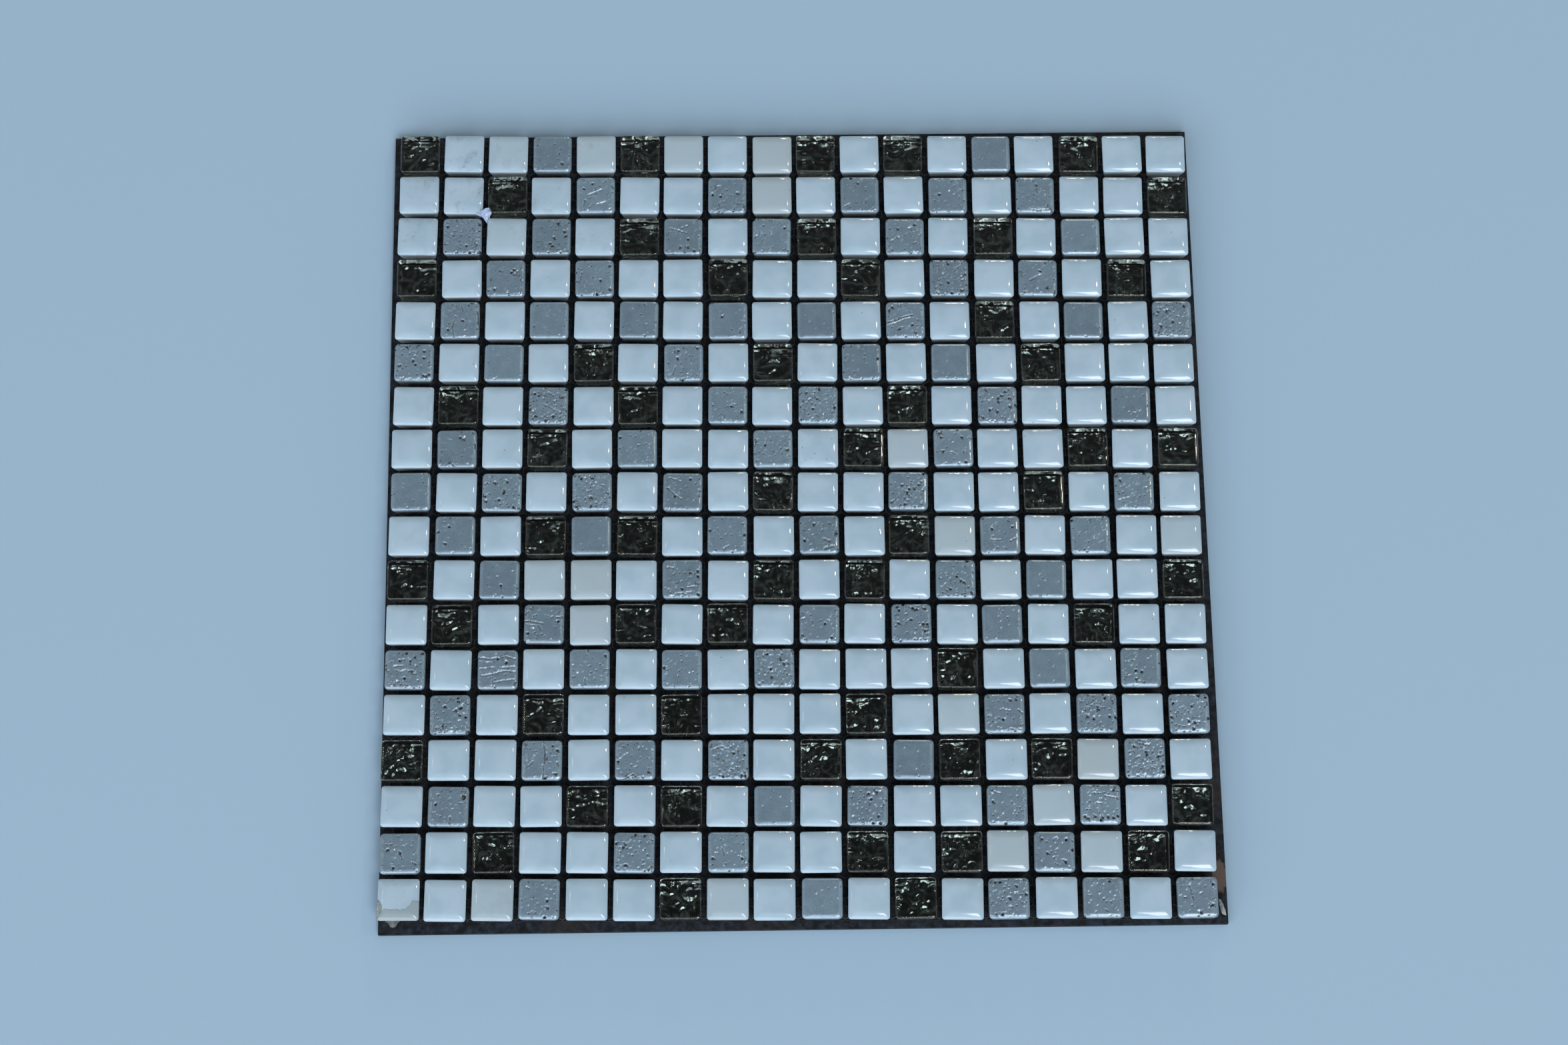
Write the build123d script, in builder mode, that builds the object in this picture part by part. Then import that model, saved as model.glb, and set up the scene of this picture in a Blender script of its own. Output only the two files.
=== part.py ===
from build123d import *
import math
import os
import random

# Mosaic wall tile: small square chips in three finishes on a net, glued to a thin board.
# Lengths are in millimetres and angles in degrees. +Z points out of the chips' faces,
# +Y towards the first row of the laying plan and +X along a row, from its first chip.
# The origin is the middle of the board's underside.

# Laying plan, a line for each row: w is white glazed, s silver glazed and g glass
laying_plan = """
gwwswgwwwgwgwswgww
wwgwswwswwswswswwg
wswswgswsgwswgwsww
gwswswwgwwgwswswgw
wswswswswswswgwsws
swswgwswgwswswgwww
wgwswgwswswgwswwsw
wswgwswwswgwswwgwg
swswswswgwwswwgwsw
wswgsgwswswgwswsww
gwswwwswgwgwswswwg
wgwswgwgwswswswgww
swswswswswwwgwswsw
wswgwwgwwwgwwswsws
gwwswswswgwsgwgwsw
wswwgwgwswswwswswg
swgwwswswwgwgwswgw
wwwswwgwwswgwswsws
""".split()

# Every chip, measured across its widest line, which runs round it just under the face
chip_width = 14.8
chip_height = 8.0
wall_draft = 11
joint_width = 1.87

# How each kind is eased: the cut at its upright corners, then the edge of its face,
# which runs in from the widest line while it rises
white_corner = 1.0
white_edge_in = 0.9
white_edge_rise = 0.5
silver_corner = 1.7
silver_edge_in = 1.2
silver_edge_rise = 0.9
glass_corner = 1.3
glass_edge_in = 0.5
glass_edge_rise = 0.4

# Chips are laid by hand: each lies off its place by up to this much, and is turned a little
laying_shift = 0.22
laying_turn = 0.8
laying_seed = 7

# The net ends just inside the chips' outer edge
net_thickness = 0.4
net_inset = 0.6

# The board shows past the chips all round, and the mosaic was laid on it a little askew
board_thickness = 3.0
side_margin = 2.5
end_margin = 3.0
mosaic_turn = -0.54
mosaic_shift_x = -0.7
mosaic_shift_y = -0.5

rows = len(laying_plan)
columns = len(laying_plan[0])
pitch = chip_width + joint_width
mosaic_width = columns * pitch - joint_width
mosaic_length = rows * pitch - joint_width

mosaic_place = Location((mosaic_shift_x, mosaic_shift_y, 0), (0, 0, mosaic_turn))
net_plane = Plane(mosaic_place).offset(board_thickness)
chip_plane = net_plane.offset(net_thickness)


def make_chip(corner, edge_in, edge_rise):
    """One chip on its back: walls that lean in downwards, and eased corners and face edges."""
    lean = math.radians(wall_draft)
    with BuildPart() as chip:
        with BuildSketch() as outline:
            Rectangle(chip_width, chip_width)
            chamfer(outline.vertices(), corner)
        extrude(amount=chip_height)
        walls = chip.faces().filter_by(Axis.Z, reverse=True)
        draft(walls, Plane.XY.offset(chip_height - edge_rise), -wall_draft)
        face = chip.faces().sort_by(Axis.Z)[-1]
        along_face = edge_in + edge_rise * math.tan(lean)
        down_wall = edge_rise / math.cos(lean)
        chamfer(face.edges(), along_face, down_wall, reference=face)
    return chip.part


def chip_place(row, column):
    """Where the chip of one cell lies, with the small shift and turn of hand laying."""
    hand = random.Random(laying_seed + row * columns + column)
    x = (column - (columns - 1) / 2) * pitch + hand.uniform(-laying_shift, laying_shift)
    y = ((rows - 1) / 2 - row) * pitch + hand.uniform(-laying_shift, laying_shift)
    turn = hand.uniform(-laying_turn, laying_turn)
    return chip_plane.location * Location((x, y, 0), (0, 0, turn))


os.makedirs("parts", exist_ok=True)

with BuildPart() as board:
    with BuildSketch():
        Rectangle(mosaic_width + 2 * side_margin, mosaic_length + 2 * end_margin)
    extrude(amount=board_thickness)
board.part.label = "backing_board"
export_step(board.part, "parts/backing_board.step")

with BuildPart() as net:
    with BuildSketch(net_plane):
        Rectangle(mosaic_width - 2 * net_inset, mosaic_length - 2 * net_inset)
    extrude(amount=net_thickness)
net.part.label = "mesh_net"
export_step(net.part, "parts/mesh_net.step")

# Each row's chips of one kind are a sub-part: separate solids, a joint or more apart
kinds = {
    "w": ("white_chips", make_chip(white_corner, white_edge_in, white_edge_rise)),
    "s": ("silver_chips", make_chip(silver_corner, silver_edge_in, silver_edge_rise)),
    "g": ("glass_chips", make_chip(glass_corner, glass_edge_in, glass_edge_rise)),
}
for row, line in enumerate(laying_plan):
    for letter, (kind_name, one_chip) in kinds.items():
        places = [chip_place(row, column) for column in range(columns) if line[column] == letter]
        with BuildPart() as chips:
            with Locations(*places):
                add(one_chip)
        chips.part.label = f"{kind_name}_row_{row + 1:02d}"
        export_step(chips.part, f"parts/{chips.part.label}.step")
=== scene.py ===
import math
import random

import bmesh
import bpy
import numpy as np
from mathutils import Matrix, Vector


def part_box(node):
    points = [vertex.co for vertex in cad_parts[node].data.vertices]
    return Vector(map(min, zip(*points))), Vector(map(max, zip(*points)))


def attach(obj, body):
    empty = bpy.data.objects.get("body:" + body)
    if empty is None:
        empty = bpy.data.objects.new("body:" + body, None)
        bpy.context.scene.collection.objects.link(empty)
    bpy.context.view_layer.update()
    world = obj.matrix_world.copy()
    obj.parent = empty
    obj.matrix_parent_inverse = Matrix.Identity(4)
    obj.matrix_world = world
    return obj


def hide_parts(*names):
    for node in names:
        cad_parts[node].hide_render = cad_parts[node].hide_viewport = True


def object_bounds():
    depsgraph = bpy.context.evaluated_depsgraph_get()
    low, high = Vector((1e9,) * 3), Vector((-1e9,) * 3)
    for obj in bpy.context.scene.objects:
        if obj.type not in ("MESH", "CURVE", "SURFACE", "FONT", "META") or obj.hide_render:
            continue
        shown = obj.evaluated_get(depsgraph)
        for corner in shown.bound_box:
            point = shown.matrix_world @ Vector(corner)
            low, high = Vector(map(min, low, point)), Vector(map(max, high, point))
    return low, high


# Mosaic wall tile: white glazed, silver glazed and glass chips on a knitted net, glued to a black board.
# Every chip is laid where the solid model has it, so its place and turn are read from the frame.

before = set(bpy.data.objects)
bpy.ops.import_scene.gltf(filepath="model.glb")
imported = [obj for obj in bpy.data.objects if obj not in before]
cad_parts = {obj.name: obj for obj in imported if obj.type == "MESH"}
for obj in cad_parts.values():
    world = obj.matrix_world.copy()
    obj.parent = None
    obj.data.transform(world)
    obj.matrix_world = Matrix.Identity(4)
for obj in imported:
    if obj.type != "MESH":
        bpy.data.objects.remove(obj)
solidBox = [list(corner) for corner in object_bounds()]
print("frame loaded with", len(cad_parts), "solid pieces")

mm = 0.001
rowCount = 18
columnCount = 18


# Small helpers

def linearColour(hexCode):
    channels = [int(hexCode[start:start + 2], 16) / 255 for start in (1, 3, 5)]
    return [c / 12.92 if c <= 0.04045 else ((c + 0.055) / 1.055) ** 2.4 for c in channels] + [1.0]


# A node given as an input is linked by its first output, and a hex colour is turned to linear
def addNode(material, kind, inputs=None, stops=None, **settings):
    node = material.node_tree.nodes.new("ShaderNode" + kind)
    for name, value in settings.items():
        setattr(node, name, value)
    for socket, value in (inputs or {}).items():
        if isinstance(value, bpy.types.Node):
            value = value.outputs[0]
        elif isinstance(value, str):
            value = linearColour(value)
        if isinstance(value, bpy.types.NodeSocket):
            material.node_tree.links.new(value, node.inputs[socket])
        else:
            node.inputs[socket].default_value = value
    if stops:
        for stop, (position, hexCode) in zip(node.color_ramp.elements, stops):
            stop.position = position
            stop.color = linearColour(hexCode)
    return node


def newMaterial(name):
    material = bpy.data.materials.new(name)
    material.use_nodes = True
    material.node_tree.nodes.clear()
    return material


def makeActive(piece):
    for thing in bpy.context.selected_objects:
        thing.select_set(False)
    piece.select_set(True)
    bpy.context.view_layer.objects.active = piece


def startEditing(piece, part="FACE"):
    makeActive(piece)
    bpy.ops.object.mode_set(mode="EDIT")
    bpy.ops.mesh.select_mode(type=part)
    bpy.ops.mesh.select_all(action="DESELECT")


def stopEditing():
    bpy.ops.object.mode_set(mode="OBJECT")


def turnFacesOut():
    bpy.ops.mesh.select_all(action="SELECT")
    bpy.ops.mesh.normals_make_consistent(inside=False)


def selectFaces(piece, wanted):
    bpy.ops.mesh.select_all(action="DESELECT")
    editMesh = bmesh.from_edit_mesh(piece.data)
    for face in editMesh.faces:
        face.select_set(wanted(face))
    bmesh.update_edit_mesh(piece.data)


def selectVertices(piece, indices):
    bpy.ops.mesh.select_all(action="DESELECT")
    editMesh = bmesh.from_edit_mesh(piece.data)
    editMesh.verts.ensure_lookup_table()
    for index in indices:
        editMesh.verts[index].select_set(True)
    bmesh.update_edit_mesh(piece.data)


def applyModifier(piece, kind, **settings):
    modifier = piece.modifiers.new(kind.lower(), kind)
    for name, value in settings.items():
        setattr(modifier, name, value)
    makeActive(piece)
    bpy.ops.object.modifier_apply(modifier=modifier.name)


# Shades a piece smooth, apart from edges sharper than this many degrees
def smoothPiece(piece, sharpest):
    makeActive(piece)
    bpy.ops.object.shade_smooth_by_angle(angle=math.radians(sharpest))


def markPiece(piece, name, values):
    attribute = piece.data.attributes.new(name, "FLOAT", "POINT")
    attribute.data.foreach_set("value", values)


# Camera: nearly overhead, from the near side of the tile

photoView = {
    "focalLength": 64.22,  # mm on a sensor 36 mm wide
    "place": (-21.29, -268.50, 1003.21),  # mm from the middle of the board's underside
    "turned": (14.932, -0.709, -0.843),  # degrees about X, Y and Z
}

cameraData = bpy.data.cameras.new("photoCamera")
cameraData.lens = photoView["focalLength"]
cameraData.sensor_width = 36
camera = bpy.data.objects.new("photoCamera", cameraData)
camera.location = Vector(photoView["place"]) * mm
camera.rotation_euler = [math.radians(angle) for angle in photoView["turned"]]
bpy.context.scene.collection.objects.link(camera)
bpy.context.scene.camera = camera
bpy.context.scene.view_settings.view_transform = "Standard"


# Light: a broad low window on the near side with one bright pane, the room's own soft light,
# and small lamps whose reflections dot the rolled edges of the glaze

studio = {
    "roomLow": 0.52,  # the room's light from low down
    "roomHigh": 0.04,  # and from overhead, where the ceiling is dark
    "lampDistance": 8.0,  # metres
    "floorSize": 40,
    "floorColour": "#96B3CC",
    "warmLamp": "#FFF3D2",
}
# Each lamp: the way to it, its width and height in degrees as the tile sees it, its radiance,
# and whether it is warm
lamps = {
    "window": ((-0.36, -0.76, 0.54), (80, 34), 2.65, False),
    "brightPane": ((0.2569, -0.4635, 0.848), (17.5, 20), 9.5, False),
    "paneGlow": ((0.18, -0.62, 0.76), (40, 50), 0.65, False),
    "eastLamp": ((0.53, 0.268, 0.803), (1.8, 1.0), 300, True),
    "westLamp": ((-0.56, 0.15, 0.81), (5, 1.0), 20, True),
    "northLampA": ((0.08, 0.94, 0.30), (1.2, 2.5), 70, True),
    "northLampB": ((0.12, 0.94, 0.30), (1.6, 2.5), 70, True),
    "northLampC": ((0.17, 0.94, 0.30), (1.2, 2.5), 70, True),
}

room = bpy.data.worlds.new("softRoom")
bpy.context.scene.world = room
room.use_nodes = True
roomLight = room.node_tree.nodes["Background"]
height = addNode(room, "SeparateXYZ", {"Vector": addNode(room, "TexCoord").outputs["Generated"]})
dimming = addNode(room, "MapRange", {
    "Value": height.outputs["Z"], "From Min": 0.35, "To Min": studio["roomLow"],
    "To Max": studio["roomHigh"]})
room.node_tree.links.new(dimming.outputs[0], roomLight.inputs["Strength"])
roomLight.inputs["Color"].default_value = (1, 1, 1, 1)

lampDistance = studio["lampDistance"]
for lampName, (direction, spread, radiance, warm) in lamps.items():
    lamp = bpy.data.lights.new(lampName, "AREA")
    lamp.shape = "RECTANGLE"
    lamp.size, lamp.size_y = [2 * lampDistance * math.tan(math.radians(angle / 2)) for angle in spread]
    lamp.energy = radiance * math.pi * lamp.size * lamp.size_y
    if warm:
        lamp.color = linearColour(studio["warmLamp"])[:3]
    holder = bpy.data.objects.new(lampName, lamp)
    holder.location = Vector(direction).normalized() * lampDistance
    holder.rotation_euler = (-holder.location).to_track_quat("-Z", "Y").to_euler()
    bpy.context.scene.collection.objects.link(holder)

bpy.ops.mesh.primitive_plane_add(size=studio["floorSize"])
floor = bpy.context.object
floor.name = "floor"
paintedFloor = newMaterial("paintedFloor")
floorShader = addNode(paintedFloor, "BsdfPrincipled", {
    "Base Color": studio["floorColour"], "Roughness": 0.6, "Specular IOR Level": 0.2})
addNode(paintedFloor, "OutputMaterial", {"Surface": floorShader})
floor.data.materials.append(paintedFloor)
print("camera, light and floor placed")


# Where each chip lies: the solid's triangles are taken along the row, and a new chip begins
# wherever none of them bridges a joint. Its turn is that of its wall towards +X.

leastGap = 0.3  # mm, less than any joint


def findChips(node):
    mesh = node.data
    spans = []
    for face in mesh.polygons:
        alongRow = [mesh.vertices[index].co.x for index in face.vertices]
        spans.append((min(alongRow), max(alongRow), face.index))
    chips = []
    reached = -1.0
    for start, end, index in sorted(spans):
        if start > reached + leastGap * mm:
            chips.append([])
        chips[-1].append(mesh.polygons[index])
        reached = max(reached, end)
    places = []
    for faces in chips:
        corners = {tuple(mesh.vertices[index].co) for face in faces for index in face.vertices}
        lowest = min(corner[2] for corner in corners)
        back = {(round(x, 7), round(y, 7)) for x, y, z in corners if z < lowest + 0.01 * mm}
        middle = Vector((sum(x for x, y in back) / len(back), sum(y for x, y in back) / len(back), lowest))
        wall = max((face for face in faces if abs(face.normal.z) < 0.3), key=lambda face: face.normal.x)
        turn = math.atan2(wall.normal.y, wall.normal.x)
        column = round(middle.x / pitch + (columnCount + 1) / 2)
        places.append((column, Matrix.Translation(middle) @ Matrix.Rotation(turn, 4, "Z")))
    return places


netLow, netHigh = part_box("mesh_net")
pitch = (netHigh.x - netLow.x) / columnCount
chipFoot = netHigh.z
chipTop = solidBox[1][2]


# The form that all chips share: a square pressed chip whose walls lean in downwards,
# with a soft roll from its widest line up to its face

chipWidth = 14.8  # mm across the widest line
jointWidth = 1.87
chipHeight = (chipTop - chipFoot) / mm


# The roll's rings run from the widest line inwards: how far in each is, and how far below the face
def shapeChip(name, form):
    rings = form["roll"]
    widestHeight = chipHeight - form["faceDrop"] - rings[0][1]
    footWidth = chipWidth - 2 * widestHeight * math.tan(math.radians(form["wallLean"]))
    bpy.ops.mesh.primitive_cube_add(size=1, location=(0, 0, widestHeight / 2 * mm))
    chip = bpy.context.object
    chip.name = name
    chip.scale = (chipWidth * mm, chipWidth * mm, widestHeight * mm)
    bpy.ops.object.transform_apply(location=True, rotation=True, scale=True)
    startEditing(chip, "EDGE")
    editMesh = bmesh.from_edit_mesh(chip.data)
    for edge in editMesh.edges:
        along = edge.verts[0].co - edge.verts[1].co
        edge.select_set(abs(along.z) > max(abs(along.x), abs(along.y)))
    bmesh.update_edit_mesh(chip.data)
    bpy.ops.mesh.bevel(offset=form["cornerRadius"] * mm, segments=form["cornerSteps"], affect="EDGES")
    bpy.ops.mesh.select_mode(type="FACE")
    selectFaces(chip, lambda face: face.normal.z < -0.9)
    bpy.ops.transform.resize(value=(footWidth / chipWidth, footWidth / chipWidth, 1))
    selectFaces(chip, lambda face: face.normal.z > 0.9)
    for (cut, drop), (lastCut, lastDrop) in zip(rings[1:], rings):
        bpy.ops.mesh.extrude_region_move(TRANSFORM_OT_translate={"value": (0, 0, (lastDrop - drop) * mm)})
        narrower = (chipWidth - 2 * cut) / (chipWidth - 2 * lastCut)
        bpy.ops.transform.resize(value=(narrower, narrower, 1))
    turnFacesOut()
    stopEditing()
    smoothPiece(chip, 70)
    return chip


# A chip with a fine grid for its face, which can be pitted or rippled: it is shrunk onto the plain form
def gridChip(name, form):
    formChip = shapeChip(name + "Form", form)
    lean = 2 * math.tan(math.radians(form["wallLean"]))
    width = chipWidth - chipHeight * lean
    cells = form["cells"]
    bpy.ops.mesh.primitive_grid_add(x_subdivisions=cells, y_subdivisions=cells, size=width * mm)
    chip = bpy.context.object
    chip.name = name
    startEditing(chip)
    bpy.ops.mesh.select_all(action="SELECT")
    for wallRow in form["wallRows"]:
        bpy.ops.mesh.extrude_region_move(TRANSFORM_OT_translate={"value": (0, 0, wallRow * mm)})
        wider = (width + wallRow * lean) / width
        bpy.ops.transform.resize(value=(wider, wider, 1))
        width = width * wider
    turnFacesOut()
    stopEditing()
    applyModifier(chip, "SHRINKWRAP", target=formChip, wrap_method="NEAREST_SURFACEPOINT")
    bpy.data.objects.remove(formChip)
    return chip


def isBack(face):
    return face.normal.z < -0.9 and face.calc_center_median().z < 0.5 * mm


# Lays copies of a chip in the cells of a row and joins them to one piece
def layRow(row, nodeName, pieceName, master, dressChip=None):
    chips = []
    for column, place in findChips(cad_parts[nodeName]):
        chip = master.copy()
        chip.data = master.data.copy()
        bpy.context.scene.collection.objects.link(chip)
        if dressChip:
            dressChip(chip, row, column)
        chip.data.transform(place)
        chips.append(chip)
    makeActive(chips[0])
    for chip in chips:
        chip.select_set(True)
    if len(chips) > 1:
        bpy.ops.object.join()
    chips[0].name = pieceName
    chips[0].data.name = pieceName
    return chips[0]


# White glazed porcelain: a thick glossy glaze that pools flat and rolls off softly at the edges,
# thinning down the walls so that the body greys it

whiteGlaze = {
    "glaze": "#A2BBCF",
    "cloud": "#98B3C7",
    "cloudWidth": 9.0,  # mm
    "cream": "#9AADB9",
    "wallBody": "#8B959B",
    "wallFade": (1.0, 2.6),  # mm below the face: where the glaze starts to thin, and where the body shows
    "speck": "#3A3A3C",
    "speckCell": 1.1,  # mm from one place for a speck to the next
    "scuff": "#56606A",
    "scuffPatch": 4.5,  # mm across
    "scuffStroke": 1.1,
    "film": "#7F8A8B",
    "filmRim": "#5A5E58",
    "filmNotch": 2.5,  # mm from one bay of the film's ragged edge to the next
    "roughness": 0.06,
    "ripple": (5.0, 0.04),  # mm from one soft wave of the glaze to the next, and its height
    "dome": 0.00056,  # a face's fall in mm, as a part of the cube of the way from its middle line in mm
    "cornerRadius": 0.9,  # mm
    "cornerSteps": 2,
    "wallLean": 8.0,  # degrees: the photo shows a little more wall than the solid chip's 11 would
    "faceDrop": 0.08,  # mm that the face lies below the highest chips
    "roll": ((0.0, 1.16), (0.08, 0.96), (0.35, 0.76), (1.2, 0.38), (2.3, 0.05), (3.2, 0.0)),
    # The chips that differ, by row and column, and how much
    "creamyChips": {
        (1, 3): 0.3, (1, 5): 0.6, (1, 7): 0.6, (1, 9): 0.9, (2, 9): 0.9, (3, 3): 0.3, (8, 12): 0.7,
        (10, 13): 0.8, (10, 18): 0.5, (11, 4): 0.6, (11, 5): 0.8, (11, 14): 0.4, (12, 5): 0.7, (14, 13): 0.5,
        (15, 16): 1.0, (16, 15): 0.6, (17, 14): 0.8, (17, 16): 0.5, (18, 3): 0.6, (18, 8): 0.5},
    "speckledChips": {(8, 10): 1.0, (8, 11): 0.35, (16, 1): 0.3, (1, 2): 0.2, (12, 8): 0.2},
    "filmedChips": {(18, 1): 1.0},
    "scuffedChips": {
        (1, 2): 1.0, (2, 2): 0.9, (2, 1): 0.8, (3, 1): 0.8, (1, 3): 0.5, (2, 4): 0.9, (1, 5): 0.7,
        (3, 3): 0.6, (3, 5): 0.5, (4, 2): 0.4, (1, 12): 0.4, (18, 3): 0.5, (18, 1): 0.4},
}
wallFadeTop, wallFadeEnd = [chipTop - depth * mm for depth in whiteGlaze["wallFade"]]
rippleWidth, rippleHeight = whiteGlaze["ripple"]

porcelain = newMaterial("glazedPorcelain")
coords = addNode(porcelain, "TexCoord").outputs["Object"]
axes = addNode(porcelain, "SeparateXYZ", {"Vector": coords})
creamy, speckled, scuffed, filmed, acrossChip, alongChip = [
    addNode(porcelain, "Attribute", attribute_name=mark).outputs["Fac"]
    for mark in ("creamy", "speckled", "scuffed", "filmed", "acrossChip", "alongChip")]
clouding = addNode(porcelain, "TexNoise", {
    "Vector": coords, "Scale": 1 / (whiteGlaze["cloudWidth"] * mm), "Detail": 2.0})
glazeTone = addNode(porcelain, "ValToRGB", {"Fac": clouding},
                    stops=[(0.35, whiteGlaze["cloud"]), (0.6, whiteGlaze["glaze"])])
creamTone = addNode(porcelain, "MixRGB", {
    "Fac": creamy, "Color1": glazeTone, "Color2": whiteGlaze["cream"]})
thinning = addNode(porcelain, "MapRange", {
    "Value": axes.outputs["Z"], "From Min": wallFadeEnd, "From Max": wallFadeTop,
    "To Min": 0.95, "To Max": 0.0})
bodyTone = addNode(porcelain, "MixRGB", {
    "Fac": thinning, "Color1": creamTone, "Color2": whiteGlaze["wallBody"]})
# Specks: the middles of a few of the cells
cells = addNode(porcelain, "TexVoronoi", {"Vector": coords, "Scale": 1 / (whiteGlaze["speckCell"] * mm)})
cellPick = addNode(porcelain, "SeparateXYZ", {"Vector": cells.outputs["Color"]})
rarity = addNode(porcelain, "MapRange", {"Value": speckled, "To Min": 0.996, "To Max": 0.86})
picked = addNode(porcelain, "Math", {0: cellPick.outputs["X"], 1: rarity}, operation="GREATER_THAN")
speckShape = addNode(porcelain, "MapRange", {
    "Value": cells.outputs["Distance"], "From Min": 0.12, "From Max": 0.2, "To Min": 1.0, "To Max": 0.0})
speck = addNode(porcelain, "Math", {0: picked, 1: speckShape}, operation="MULTIPLY")
speckTone = addNode(porcelain, "MixRGB", {"Fac": speck, "Color1": bodyTone, "Color2": whiteGlaze["speck"]})
# Scuffs: ragged grey strokes in patches, with a thin haze about them
patches = addNode(porcelain, "TexNoise", {
    "Vector": coords, "Scale": 1 / (whiteGlaze["scuffPatch"] * mm), "Detail": 2.0})
wander = addNode(porcelain, "TexNoise", {
    "Vector": coords, "Scale": 1 / (whiteGlaze["scuffStroke"] * mm), "Detail": 3.0, "Roughness": 0.6,
    "Distortion": 0.6})
haze = addNode(porcelain, "MapRange", {"Value": patches, "From Min": 0.52, "From Max": 0.7, "To Max": 0.22})
patch = addNode(porcelain, "MapRange", {
    "Value": patches, "From Min": 0.58, "From Max": 0.66, "To Max": 0.75})
smear = addNode(porcelain, "MapRange", {
    "Value": wander, "From Min": 0.46, "From Max": 0.72, "To Max": 0.85})
smearPatch = addNode(porcelain, "Math", {0: smear, 1: patch}, operation="MULTIPLY")
scuffPatch = addNode(porcelain, "Math", {0: smearPatch, 1: haze}, operation="MAXIMUM")
scuff = addNode(porcelain, "Math", {0: scuffPatch, 1: scuffed}, operation="MULTIPLY")
scuffTone = addNode(porcelain, "MixRGB", {"Fac": scuff, "Color1": speckTone, "Color2": whiteGlaze["scuff"]})
# The face swells: its height falls with the cube of the way from its middle line to the near or far edge
awayAlong = addNode(porcelain, "Math", {0: alongChip}, operation="ABSOLUTE")
swell = addNode(porcelain, "Math", {0: awayAlong, 1: 3.0}, operation="POWER")
# A dried film of adhesive on the near third of one chip, and up its right side, darkest along its edge
filmEdge = addNode(porcelain, "TexNoise", {
    "Vector": coords, "Scale": 1 / (whiteGlaze["filmNotch"] * mm), "Detail": 4.0})
sideRise = addNode(porcelain, "MapRange", {
    "Value": acrossChip, "From Min": 2.5, "From Max": 5.0, "To Min": -5.4, "To Max": -1.9})
filmReach = addNode(porcelain, "Math", {0: filmEdge, 1: 3.6, 2: sideRise}, operation="MULTIPLY_ADD")
filmDepth = addNode(porcelain, "Math", {0: filmReach, 1: alongChip}, operation="SUBTRACT")
filmArea = addNode(porcelain, "MapRange", {"Value": filmDepth, "From Max": 0.2, "To Max": 0.58})
filmAmount = addNode(porcelain, "Math", {0: filmArea, 1: filmed}, operation="MULTIPLY")
filmRim = addNode(porcelain, "ValToRGB", {"Fac": filmDepth},
                  stops=[(0.15, whiteGlaze["filmRim"]), (0.6, whiteGlaze["film"])])
filmTone = addNode(porcelain, "MixRGB", {"Fac": filmAmount, "Color1": scuffTone, "Color2": filmRim})
ripple = addNode(porcelain, "TexNoise", {"Vector": coords, "Scale": 1 / (rippleWidth * mm), "Detail": 1.0})
rippleLift = addNode(porcelain, "Math", {0: ripple, 1: rippleHeight}, operation="MULTIPLY")
glazeLift = addNode(porcelain, "Math", {0: swell, 1: -whiteGlaze["dome"], 2: rippleLift},
                    operation="MULTIPLY_ADD")
glazeBump = addNode(porcelain, "Bump", {"Height": glazeLift, "Distance": 1.0 * mm})
whiteShader = addNode(porcelain, "BsdfPrincipled", {
    "Base Color": filmTone, "Roughness": whiteGlaze["roughness"], "IOR": 1.5, "Normal": glazeBump})
addNode(porcelain, "OutputMaterial", {"Surface": whiteShader})

whiteChip = shapeChip("whiteChip", whiteGlaze)
whiteChip.data.materials.append(porcelain)
markPiece(whiteChip, "acrossChip", [vertex.co.x / mm for vertex in whiteChip.data.vertices])
markPiece(whiteChip, "alongChip", [vertex.co.y / mm for vertex in whiteChip.data.vertices])
print("white chip has", len(whiteChip.data.polygons), "faces")


def markWhiteChip(chip, row, column):
    for mark in ("creamy", "speckled", "filmed", "scuffed"):
        amount = whiteGlaze[mark + "Chips"].get((row, column), 0.0)
        markPiece(chip, mark, [amount] * len(chip.data.vertices))


for row in range(1, rowCount + 1):
    nodeName = f"white_chips_row_{row:02d}"
    chips = layRow(row, nodeName, f"whiteGlazedRow{row:02d}", whiteChip, markWhiteChip)
    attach(chips, "root")
    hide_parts(nodeName)
bpy.data.objects.remove(whiteChip)
print("white chips laid")


# Silver glaze: a satin metallic glaze over a coarse body, with a sandy sparkle, pits and cracks

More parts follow.
